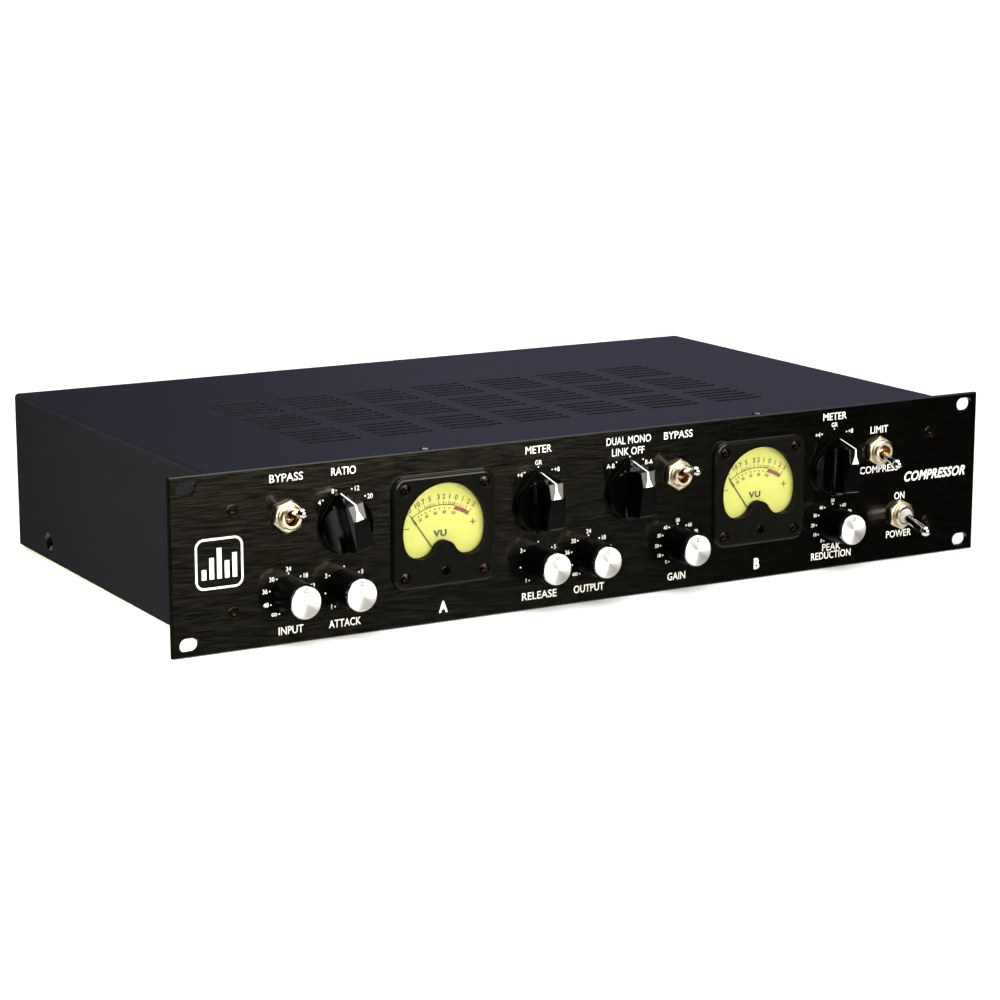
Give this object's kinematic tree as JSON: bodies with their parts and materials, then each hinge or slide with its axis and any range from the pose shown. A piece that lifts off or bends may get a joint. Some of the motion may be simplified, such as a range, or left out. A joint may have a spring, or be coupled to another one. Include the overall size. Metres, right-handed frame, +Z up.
{
  "type": "rack compressor",
  "caption": "Two-channel 19-inch rack compressor with round knobs, pointer selectors, toggle switches, needle meters and a slotted top cover.",
  "frame": {"origin": "centre of the rack slot pattern on the rear face of the front panel", "axes": "+X right seen from the front, +Y to the rear, +Z up"},
  "size_m": [0.4826, 0.2957, 0.0882],
  "materials": {
    "panel_black": "black anodised, brushed lengthwise",
    "plated_steel": "zinc-plated sheet, satin",
    "painted_black": "black textured paint",
    "painted_navy": "dark blue-grey satin paint",
    "black_screw": "black oxide",
    "steel_screw": "plated",
    "bronze_screw": "dark bronze plated",
    "bezel_black": "charcoal, matte",
    "clear_lens": "clear acrylic, gloss",
    "dial_yellow": "pale yellow, matte",
    "case_black": "moulded, matte",
    "movement_steel": "satin",
    "pot_steel": "satin",
    "phenolic": "brown phenolic",
    "nickel": "nickel plated",
    "board_green": "green circuit board",
    "brass": "satin",
    "capacitor_blue": "sleeved can",
    "winding": "varnished copper",
    "can_grey": "mu-metal can, satin",
    "sink_black": "black anodised",
    "connector_black": "glass-filled, matte",
    "cable_black": "sleeved wires",
    "knob_black": "gloss",
    "cap_silver": "spun and polished",
    "chrome": "polished",
    "boot_grey": "grey boot",
    "needle_black": "black, matte"
  },
  "bodies": {
    "chassis": {"front_panel": "panel_black", "chassis_tray": "plated_steel", "rear_panel": "painted_black", "top_cover": "painted_navy", "panel_screws": "black_screw", "cover_top_screws": "steel_screw", "cover_side_screws": "black_screw", "rear_screws": "steel_screw", "meter_a_bezel": "bezel_black", "meter_a_lens": "clear_lens", "meter_a_dial": "dial_yellow", "meter_a_case": "case_black", "meter_b_bezel": "bezel_black", "meter_b_lens": "clear_lens", "meter_b_dial": "dial_yellow", "meter_b_case": "case_black", "meter_movements": "movement_steel", "meter_screws": "bronze_screw", "potentiometers": "pot_steel", "rotary_switches": "phenolic", "control_nuts": "nickel", "toggle_switches": "nickel", "toggle_nuts": "nickel", "audio_board": "board_green", "board_standoffs": "brass", "supply_board": "board_green", "supply_capacitors": "capacitor_blue", "mains_transformer": "winding", "audio_transformers": "can_grey", "opto_cell": "can_grey", "heat_sink": "sink_black", "xlr_inputs": "connector_black", "xlr_outputs": "connector_black", "mains_inlet": "connector_black", "wiring_loom": "cable_black"},
    "input_control": {"input_knob": "knob_black", "input_cap": "cap_silver"},
    "attack_control": {"attack_knob": "knob_black", "attack_cap": "cap_silver"},
    "release_control": {"release_knob": "knob_black", "release_cap": "cap_silver"},
    "output_control": {"output_knob": "knob_black", "output_cap": "cap_silver"},
    "gain_control": {"gain_knob": "knob_black", "gain_cap": "cap_silver"},
    "peak_reduction_control": {"peak_reduction_knob": "knob_black", "peak_reduction_cap": "cap_silver"},
    "ratio_selector": {"ratio_pointer": "knob_black"},
    "meter_a_selector": {"meter_a_pointer": "knob_black"},
    "link_selector": {"link_pointer": "knob_black"},
    "meter_b_selector": {"meter_b_pointer": "knob_black"},
    "bypass_a_toggle": {"bypass_a_lever": "chrome"},
    "bypass_b_toggle": {"bypass_b_lever": "chrome"},
    "mode_toggle": {"mode_lever": "chrome"},
    "power_toggle": {"power_lever": "chrome", "power_boot": "boot_grey"},
    "needle_a": {"meter_a_needle": "needle_black"},
    "adjuster_a": {"meter_a_adjuster": "case_black"},
    "needle_b": {"meter_b_needle": "needle_black"},
    "adjuster_b": {"meter_b_adjuster": "case_black"}
  },
  "joints": [
    {"name": "input_turn", "type": "hinge", "parent": "chassis", "child": "input_control", "pos_m": [-0.18, -0.003, -0.0195], "axis": [0, 1, 0], "range_deg": [-150, 150]},
    {"name": "attack_turn", "type": "hinge", "parent": "chassis", "child": "attack_control", "pos_m": [-0.15, -0.003, -0.0195], "axis": [0, 1, 0], "range_deg": [-150, 150]},
    {"name": "release_turn", "type": "hinge", "parent": "chassis", "child": "release_control", "pos_m": [-0.04, -0.003, -0.0195], "axis": [0, 1, 0], "range_deg": [-150, 150]},
    {"name": "output_turn", "type": "hinge", "parent": "chassis", "child": "output_control", "pos_m": [-0.01, -0.003, -0.0195], "axis": [0, 1, 0], "range_deg": [-150, 150]},
    {"name": "gain_turn", "type": "hinge", "parent": "chassis", "child": "gain_control", "pos_m": [0.0446, -0.003, -0.0195], "axis": [0, 1, 0], "range_deg": [-150, 150]},
    {"name": "peak_reduction_turn", "type": "hinge", "parent": "chassis", "child": "peak_reduction_control", "pos_m": [0.1445, -0.003, -0.0195], "axis": [0, 1, 0], "range_deg": [-150, 150]},
    {"name": "ratio_turn", "type": "hinge", "parent": "chassis", "child": "ratio_selector", "pos_m": [-0.1496, -0.003, 0.0135], "axis": [0, 1, 0], "range_deg": [-30, 60]},
    {"name": "meter_a_turn", "type": "hinge", "parent": "chassis", "child": "meter_a_selector", "pos_m": [-0.04, -0.003, 0.012], "axis": [0, 1, 0], "range_deg": [-27, 33]},
    {"name": "link_turn", "type": "hinge", "parent": "chassis", "child": "link_selector", "pos_m": [0.0146, -0.003, 0.0128], "axis": [0, 1, 0], "range_deg": [-26, 34]},
    {"name": "meter_b_turn", "type": "hinge", "parent": "chassis", "child": "meter_b_selector", "pos_m": [0.1444, -0.003, 0.012], "axis": [0, 1, 0], "range_deg": [-33, 27]},
    {"name": "bypass_a_flip", "type": "hinge", "parent": "chassis", "child": "bypass_a_toggle", "pos_m": [-0.1803, -0.0033, 0.0193], "axis": [1, 0, 0], "range_deg": [0, 30]},
    {"name": "bypass_b_flip", "type": "hinge", "parent": "chassis", "child": "bypass_b_toggle", "pos_m": [0.0443, -0.0033, 0.0176], "axis": [1, 0, 0], "range_deg": [0, 30]},
    {"name": "mode_flip", "type": "hinge", "parent": "chassis", "child": "mode_toggle", "pos_m": [0.1742, -0.0033, 0.0176], "axis": [1, 0, 0], "range_deg": [-30, 0]},
    {"name": "power_flip", "type": "hinge", "parent": "chassis", "child": "power_toggle", "pos_m": [0.1898, -0.007, -0.0192], "axis": [1, 0, 0], "range_deg": [-30, 0]},
    {"name": "needle_a_swing", "type": "hinge", "parent": "chassis", "child": "needle_a", "pos_m": [-0.095, -0.0015, -0.0128], "axis": [0, 1, 0], "range_deg": [0, 72], "stiffness_Nm_per_rad": 0.00005},
    {"name": "adjuster_a_turn", "type": "hinge", "parent": "chassis", "child": "adjuster_a", "pos_m": [-0.095, -0.005, -0.0172], "axis": [0, 1, 0], "range_deg": [-30, 30]},
    {"name": "needle_b_swing", "type": "hinge", "parent": "chassis", "child": "needle_b", "pos_m": [0.095, -0.0015, -0.0128], "axis": [0, 1, 0], "range_deg": [0, 72], "stiffness_Nm_per_rad": 0.00005},
    {"name": "adjuster_b_turn", "type": "hinge", "parent": "chassis", "child": "adjuster_b", "pos_m": [0.095, -0.005, -0.0172], "axis": [0, 1, 0], "range_deg": [-30, 30]}
  ]
}
